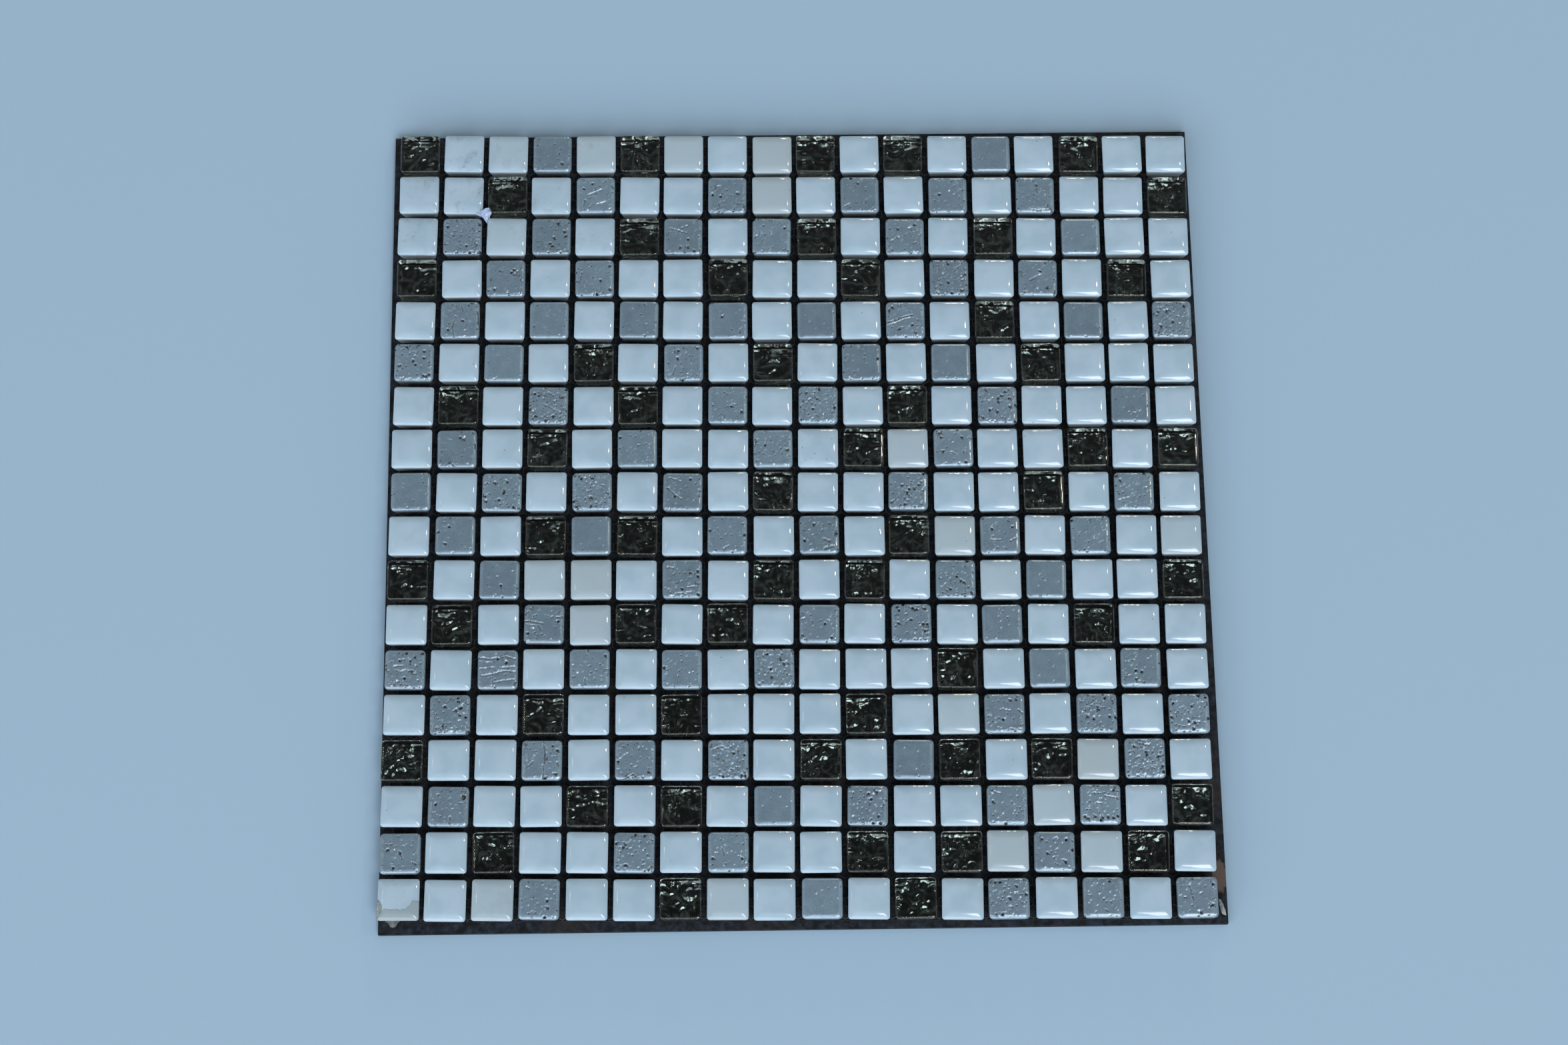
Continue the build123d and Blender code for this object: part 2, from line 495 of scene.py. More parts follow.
silverGlaze = {
    "dark": "#6A8296",
    "light": "#839CAF",
    "grain": 0.3,  # mm, a little coarser than the real sand of the glaze, so that it shows
    "grainDepth": 0.07,
    "cloudWidth": 4.0,
    "toneSpread": 0.09,  # how much lighter or darker single chips are
    "wallBody": "#8F9292",
    "wallFade": (1.7, 3.2),  # mm below the face, as for the white glaze
    # The colour of the painted shade in pits, cracks and dents
    "pitShade": "#1A2128",
    "cornerRadius": 1.8,  # mm
    "cornerSteps": 6,
    "wallLean": 8.0,  # degrees
    "faceDrop": 0.35,
    "roll": ((0.0, 1.1), (0.12, 0.8), (0.45, 0.45), (0.95, 0.17), (1.7, 0.0)),
    "cells": 46,  # the face's grid, a side
    "faceBand": 1.6,  # mm from the top down to the last points that can be pushed
    "scatter": 6.9,  # mm each way from the middle that pits and bumps are scattered over
    "wallRows": (5.6, 1.3, 0.6, 0.4),  # mm, from the back up
    # What is pushed up: how far round it the face rises, and how high, in mm
    "bump": (0.5, 0.3),
    "lump": (1.4, 0.34),
    "ridge": (0.55, 0.3),
    "rim": (0.7, 0.06),
    # What is pushed in: how far round it and how deep, how far the painted shade in it spreads, and how dark
    # that painted shade is
    "pinhole": (0.33, 0.252, 0.0, 0.0),
    "tinyPit": (0.33, 0.42, 0.21, 1.0),
    "smallPit": (0.42, 0.7, 0.294, 1.0),
    "widePit": (0.7, 1.1, 0.42, 1.0),
    "sidePit": (0.4, 0.6, 0.252, 1.0),
    "crack": (0.42, 0.6, 0.21, 0.6),
    "lumpDent": (0.45, 0.3, 0.21, 1.0),
    "ridgeFoot": (0.35, 0.3, 0.168, 0.5),
    "seed": 1000,
}

# The finish of each silver chip: a smooth, b nearly smooth, c a few pits, d many pits,
# e rough, f a few pits round the scars listed below
finishPlan = """
...c.........a....
....f..f..c.c.c...
.e.d..f.f..f...a..
..f.f.......e.f...
.f.b.b.b.a.f...a.e
d.a...f...c.a.....
...e...c.e...d..b.
.c...c..f...f.....
b.d.e.f....d....f.
.b..a..c.f...c.c..
..b...f.....d.a...
...f.....c.d.b....
d.f.c.c.e.....a.c.
.d...........f.d.d
...f.f.e...a....e.
.c......a.d..c.f..
c....d.c......c...
...c.....a...d.c.c
""".split()

# How many tiny pits, small pits, wide pits and bumps each finish has
finishCounts = {
    "a": (3, 0, 0, 8), "b": (8, 2, 0, 16), "c": (16, 6, 1, 34), "d": (26, 16, 6, 60), "e": (60, 20, 5, 110),
    "f": (20, 9, 2, 46),
}

# Scars on single chips, by row and column, in mm from the chip's middle: pits or lumps at places,
# a crack or ridge along points. They follow the photo.
scars = {
    (2, 5): [("ridge", (-2.5, 0.6), (0, 1.6), (2.4, 2.6)), ("ridge", (0.4, -3.4), (4, -2.4)),
        ("crack", (-4, -2), (-4.6, -4.5))],
    (2, 8): [("lump", (-5, 2.6)), ("ridge", (-5.6, 1), (-4.4, 3.6), (-2.8, 4)),
        ("lump", (-2.3, -6), (6, -4.8)), ("pit", (4, 0.6))],
    (2, 11): [("ridge", (-5.8, -4.4), (-4.2, -3.4)), ("pit", (-0.7, 4.6))],
    (2, 13): [("ridge", (0.6, 2), (3.2, 5)), ("ridge", (2.4, 0.6), (4.2, 2.4))],
    (2, 15): [("lump", (0.6, 1.2)), ("ridge", (-2.4, -5.2), (1, -5.8), (4.4, -5.4)), ("lump", (5, -5))],
    (3, 7): [("crack", (-4.8, 3), (-1.4, 2), (1.6, 1.2)), ("pit", (1.8, -4.4), (-1, -4.4))],
    (3, 9): [("ridge", (-4.6, 2), (-4.4, 0.4)), ("ridge", (-0.8, 2), (-0.6, 0.4)),
        ("crack", (-6.4, -0.8), (-5, 0.4))],
    (3, 12): [("lump", (2.8, 2.2)), ("ridge", (1.4, 3.8), (3.6, 4), (4.6, 2)),
        ("ridge", (-5, -1.4), (-2.6, 0.2))],
    (4, 3): [("ridge", (3.2, 2.6), (4.6, 1.2), (6.2, -0.8)), ("crack", (3, 1), (5.4, 3.4)),
        ("pit", (-4.2, -4.6))],
    (4, 5): [("lump", (0.6, -5.4)), ("pit", (5.8, 4.8), (5.8, -4.6)), ("crack", (-5.4, -1.4), (-4.6, 2.4))],
    (4, 15): [("ridge", (-2.8, -0.4), (-0.8, 0.8), (1, 1.6)), ("lump", (-6, 1.6), (3.4, -4.6)),
        ("crack", (-3, -1.2), (0.4, 0.4))],
    (5, 2): [("crack", (-2.4, -0.8), (-2.8, -3), (-2.2, -6.6)), ("crack", (0.4, 5.8), (1, 3.6)),
        ("crack", (6.6, 3.4), (7, -0.4)), ("ridge", (3, 0), (2, -4))],
    (5, 8): [("pit", (-2.2, 1.4)), ("crack", (4.6, -3.4), (4.2, -5))],
    (5, 12): [("ridge", (-6.8, -1.6), (-4, -0.8), (-1, 0.6), (2.2, 1.4)),
        ("crack", (-6.6, -0.8), (-3.4, 0), (0, 1.4), (2.8, 2)), ("ridge", (3.4, 1.6), (5.8, -0.6), (6.4, -3)),
        ("pit", (-6, 4), (-4.8, 5)), ("lump", (3.6, -5.6))],
    (6, 1): [("pit", (-0.4, 0.6)), ("lump", (0.6, 4.8)), ("crack", (-2.8, 6.4), (-2.2, 4.6)),
        ("pit", (3.4, -5), (-5.2, -1.4))],
    (6, 7): [("crack", (-3, -1.6), (-4, -4.8)), ("pit", (-2.4, 1.6), (-2, 4.6))],
    (7, 4): [("pit", (-5, 4.6), (-3.6, 4)), ("lump", (-4.8, -4)), ("pit", (-4.6, -4.2)), ("lump", (2, 0.6)),
        ("ridge", (-1.6, 1), (2, -1), (4.4, -2)), ("crack", (0, 5), (2, 3.6)), ("lump", (-0.6, -5.6))],
    (7, 8): [("lump", (-2, -4.6)), ("crack", (1.6, 0.2), (3.4, 0)), ("pit", (5, -2.6))],
    (7, 14): [("pit", (3, 5), (1.6, 3.4), (0.2, 1.4), (4.4, -0.6), (0, -2.6))],
    (7, 17): [("ridge", (-1, -2.6), (1.4, -3)), ("ridge", (0, -3.8), (1.6, -2))],
    (8, 2): [("lump", (-2.6, -5.6)), ("crack", (6.6, 2), (6.8, 0)), ("pit", (2.4, 3.6))],
    (8, 9): [("lump", (-6.4, 2.4)), ("crack", (-7, 1), (-5.4, 3.6))],
    (8, 13): [("pit", (-4.6, 4)), ("lump", (-4.8, 5.2)), ("pit", (4.6, -5.8)),
        ("crack", (-1.2, -1.8), (0.6, -2.4)), ("pit", (3.2, 4))],
    (9, 3): [("crack", (-6.4, 3), (-4.6, 3.2)), ("pit", (-2.6, 3.6), (2, 4))],
    (9, 5): [("lump", (-5.4, -5)), ("pit", (-5.6, -5.8)), ("crack", (-6.2, -2.8), (-5, -3.8))],
    (9, 7): [("crack", (-5, 5.2), (-2.6, 4.6), (-1, 3.8)), ("crack", (-5.8, 1.4), (-3.4, -0.6), (-0.4, -3))],
    (9, 12): [("crack", (-0.6, -1.2), (1.4, -2.6)), ("crack", (-1.8, -2.8), (0.4, -4)),
        ("pit", (2.4, 0.8), (4, 2.4))],
    (9, 17): [("pit", (-5, 4.2)), ("ridge", (-5.6, -3), (-2.4, -2))],
    (10, 2): [("pit", (-2.2, 3.2), (-6, 1.4), (-3.4, -3.2))],
    (10, 8): [("crack", (-1.4, -5.4), (0.6, -4)), ("pit", (6.4, 0))],
    (10, 10): [("ridge", (1.6, -1), (3.8, -2)), ("crack", (1.6, -1.8), (4, -2.8)),
        ("ridge", (2, -4.6), (5, -3.8)), ("crack", (2, -5.4), (5.2, -4.6)),
        ("crack", (6.4, 1.8), (5.6, -0.4)), ("pit", (-2, 3.8))],
    (10, 14): [("crack", (-3.6, -1.8), (0.4, -2)), ("pit", (-3, 2.4)), ("crack", (3.6, -2.4), (5.4, -1.4))],
    (11, 3): [("pit", (0.6, -2.4))],
    (11, 7): [("pit", (3, 2.4), (5.6, 3), (5.8, 1)), ("lump", (5.2, -2)), ("crack", (2, -3.2), (4, -3)),
        ("ridge", (-6.6, -2.8), (-4.6, -3.4)), ("crack", (-5.6, 4.4), (-3, 4)),
        ("ridge", (-2, -5), (4, -4.4))],
    (12, 4): [("crack", (-6.8, 1), (-3.2, 0.6), (-0.2, 0)), ("ridge", (-6.6, 0.2), (-3, -0.2)),
        ("crack", (-2.2, -0.4), (-1, -2.4)), ("lump", (-5.4, 5.4)), ("crack", (4.6, 2.4), (6.6, 2.8))],
    (12, 10): [("lump", (-6.4, 2.8), (-5.6, -5.4)), ("pit", (4.4, -5.2))],
    (12, 12): [("pit", (0.6, 5.6), (2, 5)), ("crack", (-1, 6.2), (2.6, 4.8)),
        ("pit", (4.8, 5.4), (4.8, -2.8)), ("lump", (5, -1.8)), ("pit", (5.6, -0.2))],
    (13, 1): [("ridge", (-3.6, 0.4), (-1.4, -0.4), (0.6, 0.4)), ("crack", (-3.8, 1), (-0.6, 1.4)),
        ("pit", (3.4, 4.6)), ("crack", (2.4, -1.6), (4, -1.6))],
    (13, 3): [("crack", (-6.8, 4.4), (-3, 3.8), (0, 4.2), (3, 4.8), (6.6, 3.6)), ("lump", (2.6, 4.8)),
        ("ridge", (-6.6, 3.4), (-2, 3)), ("crack", (-6, -2.4), (-2, -1.8), (2.4, -0.6), (6.4, -1)),
        ("ridge", (-6.6, 0.8), (-1.4, 1.2)), ("crack", (-2, -4.8), (2.4, -4.2), (6, -3.8)),
        ("ridge", (0.4, 1), (6.4, 1.6))],
    (13, 5): [("crack", (-1.6, -3.6), (-1.4, -5.8)), ("lump", (6, -1.4))],
    (13, 17): [("pit", (-2, -1.2), (0.2, -1.6)), ("ridge", (-2, -5), (-0.8, -4.4))],
    (14, 2): [("pit", (-2, 3), (4, 2.2), (4.2, 2.6)), ("lump", (-1.6, 4.2), (4.6, 4.2)), ("pit", (3, 6))],
    (14, 14): [("crack", (-0.6, 1.6), (2, 0.8)), ("crack", (5, 1.2), (6.6, 0)), ("pit", (-0.8, -2.4)),
        ("ridge", (2, -5), (4, -5.4), (6.4, -5))],
    (14, 16): [("lump", (-1.8, 4), (-5, 0.8)), ("crack", (5, 6), (5.8, 3.6)), ("pit", (0.6, 1.2)),
        ("lump", (0.2, -5))],
    (14, 18): [("lump", (1.4, -2.6)), ("pit", (1.8, -3.4), (-0.4, -2.8), (1.4, -5.6)),
        ("crack", (6.6, 4.6), (6.4, 3))],
    (15, 4): [("crack", (0.6, 6.6), (1, 3), (1, 0), (0.6, -3), (0.8, -6.8)), ("crack", (0.9, 4), (1.3, 0)),
        ("lump", (-6.2, 5)), ("crack", (5.4, -0.6), (6.2, -2.4)), ("pit", (5.4, 3.6), (5.2, -5)),
        ("ridge", (-6.4, 4), (-5.8, 0))],
    (15, 6): [("lump", (-1.4, -5.8), (0.4, -6.2)), ("ridge", (-3.6, -6.6), (-0.8, -4.6), (1.6, -6.2))],
    (15, 8): [("lump", (-4.4, 4.4)), ("ridge", (-6, 4), (-2.4, 5.4)), ("crack", (3.4, 4.4), (3.6, 2))],
    (15, 17): [("crack", (-3, 5.8), (-0.4, 5), (1.6, 4.6)), ("lump", (-0.6, 4.4)), ("pit", (6, -3))],
    (16, 2): [("crack", (0.8, -3.6), (0.7, -6)), ("pit", (5.4, 3.8)), ("lump", (5.2, 4.6)),
        ("pit", (-4.4, 0.6))],
    (16, 14): [("crack", (-4.4, 4.8), (-2.4, 4)), ("pit", (-5, 1.2))],
    (16, 16): [("crack", (-3, 4), (0, 4)), ("crack", (-1.6, 0.4), (0.4, 0.4)),
        ("crack", (1.6, 3), (4, 2.6), (6.4, 2)), ("crack", (4.4, 5), (6.6, 4.8)),
        ("pit", (-5.8, -4.4), (-4.6, -5), (-2, -4.6), (0.8, -4.8), (2.6, -4.6), (4.6, -4.8), (6, -4.2))],
    (17, 1): [("pit", (-4.2, 1.4), (0, 0.4)), ("crack", (0.2, 0), (0.8, -2))],
    (17, 8): [("crack", (-2.4, 1.6), (-1.6, -0.6)), ("pit", (-5.4, -2.2)), ("lump", (6.6, -3))],
    (17, 15): [("pit", (-4.6, 4.6), (-2.6, -0.8), (3.8, -3.4)), ("crack", (2.6, -2.8), (4, -3.4)),
        ("pit", (6.2, 0.6))],
    (18, 4): [("crack", (-4.4, 4.2), (-3.4, 3.6)), ("pit", (3, -0.6), (2.4, -6.2))],
    (18, 18): [("crack", (-2.8, 4.2), (-2, 1), (-1.4, -0.8)), ("pit", (5, -3)), ("lump", (5, -3.4)),
        ("pit", (5.6, 4.6))],
}

wallFadeTop, wallFadeEnd = [chipTop - depth * mm for depth in silverGlaze["wallFade"]]
satinGlaze = newMaterial("satinSilverGlaze")
coords = addNode(satinGlaze, "TexCoord").outputs["Object"]
grain = addNode(satinGlaze, "TexNoise", {
    "Vector": coords, "Scale": 1 / (silverGlaze["grain"] * mm), "Detail": 1.0})
sparkle = addNode(satinGlaze, "ValToRGB", {"Fac": grain},
                  stops=[(0.3, silverGlaze["dark"]), (0.7, silverGlaze["light"])])
paintedPitShade, toned = [addNode(satinGlaze, "Attribute", attribute_name=mark).outputs["Fac"]
                 for mark in ("paintedPitShade", "toned")]
cloud = addNode(satinGlaze, "TexNoise", {
    "Vector": coords, "Scale": 1 / (silverGlaze["cloudWidth"] * mm), "Detail": 2.0})
cloudLight = addNode(satinGlaze, "MapRange", {
    "Value": cloud, "From Min": 0.3, "From Max": 0.7, "To Min": 0.9, "To Max": 1.06})
chipLight = addNode(satinGlaze, "Math", {0: cloudLight, 1: toned}, operation="MULTIPLY")
glazeLight = addNode(satinGlaze, "VectorMath", {0: sparkle, "Scale": chipLight}, operation="SCALE")
axes = addNode(satinGlaze, "SeparateXYZ", {"Vector": coords})
thinning = addNode(satinGlaze, "MapRange", {
    "Value": axes.outputs["Z"], "From Min": wallFadeEnd, "From Max": wallFadeTop,
    "To Min": 0.9, "To Max": 0.0})
bodyTone = addNode(satinGlaze, "MixRGB", {
    "Fac": thinning, "Color1": glazeLight, "Color2": silverGlaze["wallBody"]})
# Painted shade: pits, cracks, dents beside lumps and ridge feet are darkened towards the pit shade colour, as
# far as each chip's mark says
silverTone = addNode(satinGlaze, "MixRGB", {
    "Fac": paintedPitShade, "Color1": bodyTone, "Color2": silverGlaze["pitShade"]})
pitMatt = addNode(satinGlaze, "MapRange", {"Value": paintedPitShade, "To Min": 0.32, "To Max": 0.8})
pitDull = addNode(satinGlaze, "MapRange", {"Value": paintedPitShade, "To Min": 0.35, "To Max": 0.0})
grainBump = addNode(satinGlaze, "Bump", {
    "Height": grain, "Strength": 0.5, "Distance": silverGlaze["grainDepth"] * mm})
silverShader = addNode(satinGlaze, "BsdfPrincipled", {
    "Base Color": silverTone, "Roughness": pitMatt, "Metallic": pitDull,
    "Coat Weight": 0.9, "Coat Roughness": 0.12, "Normal": grainBump})
addNode(satinGlaze, "OutputMaterial", {"Surface": silverShader})

silverChip = gridChip("silverChip", silverGlaze)
startEditing(silverChip)
selectFaces(silverChip, isBack)
bpy.ops.mesh.dissolve_faces()
stopEditing()
silverChip.data.materials.append(satinGlaze)
smoothPiece(silverChip, 60)
print("silver chip has", len(silverChip.data.polygons), "faces")

silverPoints = np.array([vertex.co for vertex in silverChip.data.vertices]) / mm
onFace = np.nonzero(silverPoints[:, 2] > chipHeight - silverGlaze["faceBand"])[0]


# Pushes the face's points nearest to the given places, with a soft fall-off round them
def pushFace(chip, places, reach, rise):
    if not places:
        return []
    nearest = set()
    for place in places:
        away = silverPoints[onFace, :2] - np.array(place)
        nearest.add(int(onFace[np.argmin((away * away).sum(axis=1))]))
    selectVertices(chip, nearest)
    bpy.ops.transform.translate(value=(0, 0, rise * mm), use_proportional_edit=True,
                                proportional_edit_falloff="SMOOTH", proportional_size=reach * mm)
    return list(nearest)


# Pushes the face in and paints shade into the hollow round the places, and half as much a little further out
def digFace(chip, paintedPitShade, places, mark):
    reach, depth, shadeSpread, shadeStrength = silverGlaze[mark]
    for index in pushFace(chip, places, reach, -depth):
        away = np.hypot(*(silverPoints[onFace, :2] - silverPoints[index, :2]).T)
        shade = np.where(away < shadeSpread, shadeStrength, np.where(away < shadeSpread * 1.5, shadeStrength / 2, 0.0))
        paintedPitShade[onFace] = np.maximum(paintedPitShade[onFace], shade)


def placesAlong(points, step=0.15):
    places = []
    for start, end in zip(points, points[1:]):
        steps = max(1, round(math.dist(start, end) / step))
        places += [(start[0] + (end[0] - start[0]) * i / steps, start[1] + (end[1] - start[1]) * i / steps)
                   for i in range(steps + 1)]
    return places


def placesBeside(hand, places, spread):
    return [(x + hand.uniform(-spread, spread), y + hand.uniform(-spread, spread)) for x, y in places]


def weatherSilverChip(chip, row, column):
    hand = random.Random(silverGlaze["seed"] + row * columnCount + column)
    counts = finishCounts[finishPlan[row - 1][column - 1]]
    tinyPits, smallPits, widePits, bumps = [
        placesBeside(hand, [(0, 0)] * count, silverGlaze["scatter"]) for count in counts]
    paintedPitShade = np.zeros(len(chip.data.vertices))
    startEditing(chip, "VERT")
    bumpReach, bumpRise = silverGlaze["bump"]
    pushFace(chip, bumps[::3], bumpReach * 1.2, bumpRise)
    pushFace(chip, bumps[1::3], bumpReach, -bumpRise * 1.2)
    pushFace(chip, bumps[2::3], bumpReach * 0.8, bumpRise * 0.8)
    for kind, *points in scars.get((row, column), []):
        along = placesAlong(points)
        if kind == "lump":
            for point in points:
                pushFace(chip, [point], *silverGlaze["lump"])
                # Dents round the lump, with painted shade in them
                digFace(chip, paintedPitShade, placesBeside(hand, [point] * 9, 1.2), "lumpDent")
        elif kind == "ridge":
            ridgeReach, ridgeRise = silverGlaze["ridge"]
            pushFace(chip, along, ridgeReach * 1.8, ridgeRise * 0.6)
            pushFace(chip, along, ridgeReach, ridgeRise)
            # A groove along the ridge's near foot, with painted shade in it
            digFace(chip, paintedPitShade, [(x, y - 0.5) for x, y in along], "ridgeFoot")
        elif kind == "crack":
            wobbly = placesBeside(hand, along, 0.08)
            pushFace(chip, wobbly, *silverGlaze["rim"])
            # The crack, with painted shade in it
            digFace(chip, paintedPitShade, wobbly, "crack")
        else:
            for point in points:
                # A wide pit and two beside it, with painted shade in them
                digFace(chip, paintedPitShade, [point], "widePit")
                digFace(chip, paintedPitShade, placesBeside(hand, [point] * 2, 0.7), "sidePit")
    # Scattered pits with painted shade in them; the pinholes get none
    digFace(chip, paintedPitShade, tinyPits[::2], "tinyPit")
    digFace(chip, paintedPitShade, tinyPits[1::2], "pinhole")
    digFace(chip, paintedPitShade, smallPits, "smallPit")
    digFace(chip, paintedPitShade, widePits, "widePit")
    digFace(chip, paintedPitShade, placesBeside(hand, widePits * 2, 0.6), "sidePit")
    stopEditing()
    tone = 1.0 + hand.uniform(-1.0, 1.0) * silverGlaze["toneSpread"]
    markPiece(chip, "paintedPitShade", paintedPitShade)
    markPiece(chip, "toned", [tone] * len(chip.data.vertices))
    for vertex in chip.data.vertices:
        vertex.co.z = min(vertex.co.z, (chipHeight - 0.02) * mm)  # no lump stands above the other chips


for row in range(1, rowCount + 1):
    nodeName = f"silver_chips_row_{row:02d}"
    chips = layRow(row, nodeName, f"silverGlazedRow{row:02d}", silverChip, weatherSilverChip)
    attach(chips, "root")
    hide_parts(nodeName)
bpy.data.objects.remove(silverChip)
print("silver chips laid")


# Glass: clear pressed glass over a crinkled dark foil, which mirrors the window in sparks

foilGlass = {
    "tint": "#F2F6F7",
    "cornerRadius": 1.3,  # mm
    "cornerSteps": 4,
    "wallLean": 4.0,  # degrees: glass is pressed in a straighter mould
    "faceDrop": 0.15,  # mm, room for the ripple
    "roll": ((0.0, 0.6), (0.1, 0.38), (0.35, 0.15), (0.8, 0.0)),
    "cells": 28,  # the face's grid and the foil's, a side
    "wallRows": (6.2, 1.0, 0.45, 0.35),  # mm, from the back up
    "ripple": (6.0, 0.12),  # mm across and high, on the face
}
darkFoil = {
    "foil": "#515A58",
    "lift": 0.7,  # mm above the chip's back
    "rim": 0.25,  # the foil folds down this near the walls
    "edge": 1.0,  # how far in it is fully crumpled
    "crumples": ((5.0, 0.8, False), (3.2, 0.62, True)),  # mm across and high, and whether sharp
    "crinkle": 0.75,  # mm from one fine crease to the next, in patches this far apart:
    "crinklePatch": 5.0,
    "crinkleDepth": 0.25,
}

pressedGlass = newMaterial("pressedGlass")
glassShader = addNode(pressedGlass, "BsdfPrincipled", {
    "Base Color": foilGlass["tint"], "Roughness": 0.0, "IOR": 1.5, "Transmission Weight": 1.0})
addNode(pressedGlass, "OutputMaterial", {"Surface": glassShader})

crinkledFoil = newMaterial("crinkledFoil")
coords = addNode(crinkledFoil, "TexCoord").outputs["Object"]
crinkle = addNode(crinkledFoil, "TexNoise", {
    "Vector": coords, "Scale": 1 / (darkFoil["crinkle"] * mm), "Detail": 1.0})
rough = addNode(crinkledFoil, "TexNoise", {
    "Vector": coords, "Scale": 1 / (darkFoil["crinklePatch"] * mm), "Detail": 1.0})
roughPatch = addNode(crinkledFoil, "MapRange", {"Value": rough, "From Min": 0.56, "From Max": 0.7})
crinkleBump = addNode(crinkledFoil, "Bump", {
    "Height": crinkle, "Strength": roughPatch, "Distance": darkFoil["crinkleDepth"] * mm})
foilShader = addNode(crinkledFoil, "BsdfPrincipled", {
    "Base Color": darkFoil["foil"], "Roughness": 0.1, "Metallic": 1.0, "Normal": crinkleBump})
addNode(crinkledFoil, "OutputMaterial", {"Surface": foilShader})

glassChip = gridChip("glassChip", foilGlass)
startEditing(glassChip)
selectFaces(glassChip, isBack)
bpy.ops.mesh.inset(thickness=darkFoil["rim"] * mm)
bpy.ops.transform.translate(value=(0, 0, darkFoil["lift"] * mm))
stopEditing()
glassChip.data.materials.append(pressedGlass)
glassChip.data.materials.append(crinkledFoil)
foilPoints = set()
edgePoints = set()
facePoints = set()
for face in glassChip.data.polygons:
    if face.normal.z < -0.3 and face.center.z < (darkFoil["lift"] + 0.1) * mm:
        face.material_index = 1
        foilPoints.update(face.vertices)
    elif face.normal.z > 0.99:
        facePoints.update(face.vertices)
    else:
        edgePoints.update(face.vertices)
foilGroup = glassChip.vertex_groups.new(name="foil")
footHalf = max(glassChip.data.vertices[index].co.x for index in foilPoints)
for index in foilPoints - edgePoints:
    spot = glassChip.data.vertices[index].co
    inward = (footHalf - max(abs(spot.x), abs(spot.y))) / (darkFoil["edge"] * mm)
    foilGroup.add([index], min(1.0, inward), "REPLACE")
glassChip.vertex_groups.new(name="face").add(list(facePoints - edgePoints), 1.0, "REPLACE")
smoothPiece(glassChip, 50)
print("glass chip has", len(glassChip.data.polygons), "faces")


def cloudTexture(name, width, sharp):
    cloud = bpy.data.textures.new(name, "CLOUDS")
    cloud.noise_scale = width * mm
    cloud.noise_depth = 1
    cloud.noise_type = "HARD_NOISE" if sharp else "SOFT_NOISE"
    return cloud


# Each bend: its texture, its height, the middle of its travel, and what it bends
rippleWidth, rippleHeight = foilGlass["ripple"]
bends = [(cloudTexture(f"crumple{index}", width, sharp), height, 0.5, "foil")
         for index, (width, height, sharp) in enumerate(darkFoil["crumples"])]
bends.append((cloudTexture("ripple", rippleWidth, False), rippleHeight, 0.0, "face"))

for row in range(1, rowCount + 1):
    nodeName = f"glass_chips_row_{row:02d}"
    chips = layRow(row, nodeName, f"foilGlassRow{row:02d}", glassChip)
    for texture, height, middle, part in bends:
        applyModifier(chips, "DISPLACE", texture=texture, strength=height * mm, mid_level=middle,
                      direction="Z", texture_coords="LOCAL", vertex_group=part)
    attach(chips, "root")
    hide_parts(nodeName)
bpy.data.objects.remove(glassChip)
print("glass chips laid")


# Board: thin black-stained fibreboard, its face mottled blue-grey with dried adhesive

stainedBoard = {
    "dark": "#070B10",
    "light": "#27323F",
    "mottle": 3.0,  # mm
    "mottleDepth": 0.3,
    "brown": "#332A27",
    "brownPatch": 26.0,  # mm across
    "smear": "#5E514B",
    "smearPlace": (0.1494, -0.1352, 0.003),  # metres from the middle of the board's underside
}

boardFace = newMaterial("blackStainedBoard")
coords = addNode(boardFace, "TexCoord").outputs["Object"]
mottle = addNode(boardFace, "TexNoise", {
    "Vector": coords, "Scale": 1 / (stainedBoard["mottle"] * mm), "Detail": 6.0, "Roughness": 0.7})
boardTone = addNode(boardFace, "ValToRGB", {"Fac": mottle},
                    stops=[(0.42, stainedBoard["dark"]), (0.68, stainedBoard["light"])])
smear = addNode(boardFace, "TexNoise", {
    "Vector": coords, "Scale": 1 / (stainedBoard["brownPatch"] * mm), "Detail": 4.0})
smearAmount = addNode(boardFace, "MapRange", {
    "Value": smear, "From Min": 0.56, "From Max": 0.7, "To Max": 0.5})
boardStain = addNode(boardFace, "MixRGB", {
    "Fac": smearAmount, "Color1": boardTone, "Color2": stainedBoard["brown"]})
# One paler smear at the right margin, near the last rows, longer along it than across
fromSmear = addNode(boardFace, "VectorMath", {0: coords, 1: stainedBoard["smearPlace"]},
                    operation="SUBTRACT")
squeezed = addNode(boardFace, "VectorMath", {0: fromSmear, 1: (1.0, 0.45, 0.0)}, operation="MULTIPLY")
smearWay = addNode(boardFace, "VectorMath", {0: squeezed}, operation="LENGTH")
raggedWay = addNode(boardFace, "Math", {0: mottle, 1: -4.0 * mm, 2: smearWay.outputs["Value"]},
                    operation="MULTIPLY_ADD")
smearMask = addNode(boardFace, "MapRange", {
    "Value": raggedWay, "From Min": 0.2 * mm, "From Max": 0.9 * mm, "To Min": 0.85, "To Max": 0.0})
smearTone = addNode(boardFace, "MixRGB", {
    "Fac": smearMask, "Color1": boardStain, "Color2": stainedBoard["smear"]})
boardBump = addNode(boardFace, "Bump", {
    "Height": mottle, "Strength": 0.5, "Distance": stainedBoard["mottleDepth"] * mm})
boardShader = addNode(boardFace, "BsdfPrincipled", {
    "Base Color": smearTone, "Roughness": 0.6, "Specular IOR Level": 0.2, "Normal": boardBump})
addNode(boardFace, "OutputMaterial", {"Surface": boardShader})
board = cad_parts["backing_board"]
board.data.materials.clear()
board.data.materials.append(boardFace)


# Net: dark knitted strands in six-sided meshes, under all the chips and over the board

knittedNet = {
    "dark": "#0D1114",
    "light": "#23292E",
    "stitch": 0.4,  # mm
    "stitchDepth": 0.1,
    "cellWidth": 4.2,  # mm across a mesh
    "strand": 0.5,
    "thickness": 0.36,
    "inset": 0.6,  # the same margin as the solid net's, from the chips' outer edge
    "turn": -0.54,  # degrees, as the mosaic lies on its board
}

